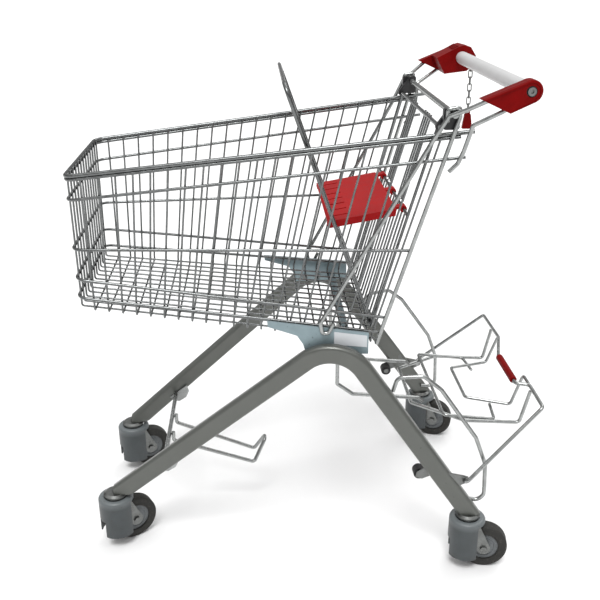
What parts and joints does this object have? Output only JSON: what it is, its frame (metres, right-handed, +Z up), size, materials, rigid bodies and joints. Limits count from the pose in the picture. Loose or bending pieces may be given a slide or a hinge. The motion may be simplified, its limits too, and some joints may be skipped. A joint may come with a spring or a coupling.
{
  "type": "shopping cart",
  "caption": "Wire basket shopping cart with child seat flap, folding crate rack, coin lock handle and swivel casters with covers.",
  "frame": {"origin": "on the floor under the middle of the cart's outer box", "axes": "+Z up, the basket's front points to -Y, the cart's left side is +X"},
  "size_m": [0.6158, 0.9459, 1.03],
  "materials": {
    "leg_paint": "satin silver paint",
    "plate_paint": "satin blue-grey paint",
    "zinc_wire": "bright zinc plate",
    "zinc_bar": "zinc plate, brighter thick bars",
    "zinc_steel": "zinc plated sheet and bolts",
    "handle_grey": "light grey sleeve",
    "red_plastic": "satin",
    "seat_red": "satin",
    "black_plastic": "satin",
    "cover_grey": "satin",
    "hub_grey": "satin",
    "tyre_rubber": "matte",
    "bumper_rubber": "matte",
    "label_white": "blank sticker"
  },
  "bodies": {
    "cart_frame": {"basket_floor": "zinc_wire", "basket_front_wall": "zinc_wire", "basket_left_wall": "zinc_wire", "basket_right_wall": "zinc_wire", "blank_label": "label_white", "bottle_hook": "zinc_bar", "bumper_brackets": "zinc_steel", "caster_studs": "zinc_steel", "coin_lock_housing": "red_plastic", "crate_hangers": "zinc_bar", "crown_cross_tube": "plate_paint", "handle_fasteners": "zinc_steel", "handle_tube": "handle_grey", "hinge_rod": "zinc_bar", "left_handle_cap": "red_plastic", "left_handle_wires": "zinc_bar", "left_leg_arch": "leg_paint", "left_rear_upright": "zinc_bar", "left_support_plate": "plate_paint", "leg_bumpers": "bumper_rubber", "leg_cross_rod": "zinc_bar", "rack_lugs": "zinc_steel", "right_handle_wires": "zinc_bar", "right_leg_arch": "leg_paint", "right_rear_upright": "zinc_bar", "right_support_plate": "plate_paint", "rod_blocks": "black_plastic", "side_bows": "zinc_bar", "support_plate_bolts": "zinc_steel"},
    "flap": {"flap_top_rod": "zinc_wire", "flap_bushes": "black_plastic", "flap_upper_wires": "zinc_wire", "flap_lower_grille": "zinc_wire"},
    "seat": {"seat_plate": "seat_red"},
    "backrest": {"backrest_grille": "zinc_wire"},
    "crate_rack": {"rack_frame": "zinc_bar", "rack_tray_wires": "zinc_bar", "rack_grip": "red_plastic"},
    "coin_chain": {"lock_chain": "zinc_steel", "lock_key_plug": "red_plastic"},
    "front_left_swivel": {"front_left_fork": "zinc_steel", "front_left_cover": "cover_grey", "front_left_axle": "zinc_steel"},
    "front_left_wheel": {"front_left_hub": "hub_grey", "front_left_tyre": "tyre_rubber"},
    "front_right_swivel": {"front_right_fork": "zinc_steel", "front_right_cover": "cover_grey", "front_right_axle": "zinc_steel"},
    "front_right_wheel": {"front_right_hub": "hub_grey", "front_right_tyre": "tyre_rubber"},
    "rear_left_swivel": {"rear_left_fork": "zinc_steel", "rear_left_cover": "cover_grey", "rear_left_axle": "zinc_steel"},
    "rear_left_wheel": {"rear_left_hub": "hub_grey", "rear_left_tyre": "tyre_rubber"},
    "rear_right_swivel": {"rear_right_fork": "zinc_steel", "rear_right_cover": "cover_grey", "rear_right_axle": "zinc_steel"},
    "rear_right_wheel": {"rear_right_hub": "hub_grey", "rear_right_tyre": "tyre_rubber"}
  },
  "joints": [
    {"name": "flap_swing", "type": "hinge", "parent": "cart_frame", "child": "flap", "pos_m": [0, 0.246, 0.954], "axis": [-1, 0, 0], "range_deg": [0, 70]},
    {"name": "seat_fold", "type": "hinge", "parent": "flap", "child": "seat", "pos_m": [0, 0.17789, 0.756], "axis": [-1, 0, 0], "range_deg": [0, 90]},
    {"name": "backrest_fold", "type": "hinge", "parent": "flap", "child": "backrest", "pos_m": [0, 0.11499, 0.525], "axis": [-1, 0, 0], "range_deg": [0, 26.8]},
    {"name": "crate_rack_fold", "type": "hinge", "parent": "cart_frame", "child": "crate_rack", "pos_m": [0, 0.307, 0.208], "axis": [1, 0, 0], "range_deg": [0, 48]},
    {"name": "chain_swing", "type": "hinge", "parent": "cart_frame", "child": "coin_chain", "pos_m": [-0.222, 0.384, 0.972], "axis": [1, 0, 0], "range_deg": [-30, 30]},
    {"name": "front_left_swivel_turn", "type": "hinge", "parent": "cart_frame", "child": "front_left_swivel", "pos_m": [0.15231, -0.436, 0.11], "axis": [0, 0, 1], "continuous": true},
    {"name": "front_left_wheel_spin", "type": "hinge", "parent": "front_left_swivel", "child": "front_left_wheel", "pos_m": [0.13381, -0.40396, 0.05], "axis": [0.866, 0.5, 0], "continuous": true},
    {"name": "front_right_swivel_turn", "type": "hinge", "parent": "cart_frame", "child": "front_right_swivel", "pos_m": [-0.15231, -0.436, 0.11], "axis": [0, 0, 1], "continuous": true},
    {"name": "front_right_wheel_spin", "type": "hinge", "parent": "front_right_swivel", "child": "front_right_wheel", "pos_m": [-0.16497, -0.40123, 0.05], "axis": [0.9397, 0.342, 0], "continuous": true},
    {"name": "rear_left_swivel_turn", "type": "hinge", "parent": "cart_frame", "child": "rear_left_swivel", "pos_m": [0.26987, 0.321, 0.11], "axis": [0, 0, 1], "continuous": true},
    {"name": "rear_left_wheel_spin", "type": "hinge", "parent": "rear_left_swivel", "child": "rear_left_wheel", "pos_m": [0.2763, 0.35744, 0.05], "axis": [0.9848, -0.1736, 0], "continuous": true},
    {"name": "rear_right_swivel_turn", "type": "hinge", "parent": "cart_frame", "child": "rear_right_swivel", "pos_m": [-0.26987, 0.321, 0.11], "axis": [0, 0, 1], "continuous": true},
    {"name": "rear_right_wheel_spin", "type": "hinge", "parent": "rear_right_swivel", "child": "rear_right_wheel", "pos_m": [-0.25844, 0.35619, 0.05], "axis": [0.9511, -0.309, 0], "continuous": true}
  ],
  "couplings": [
    {"joint": "seat_fold", "follows": "backrest_fold", "ratio": 3.358}
  ]
}
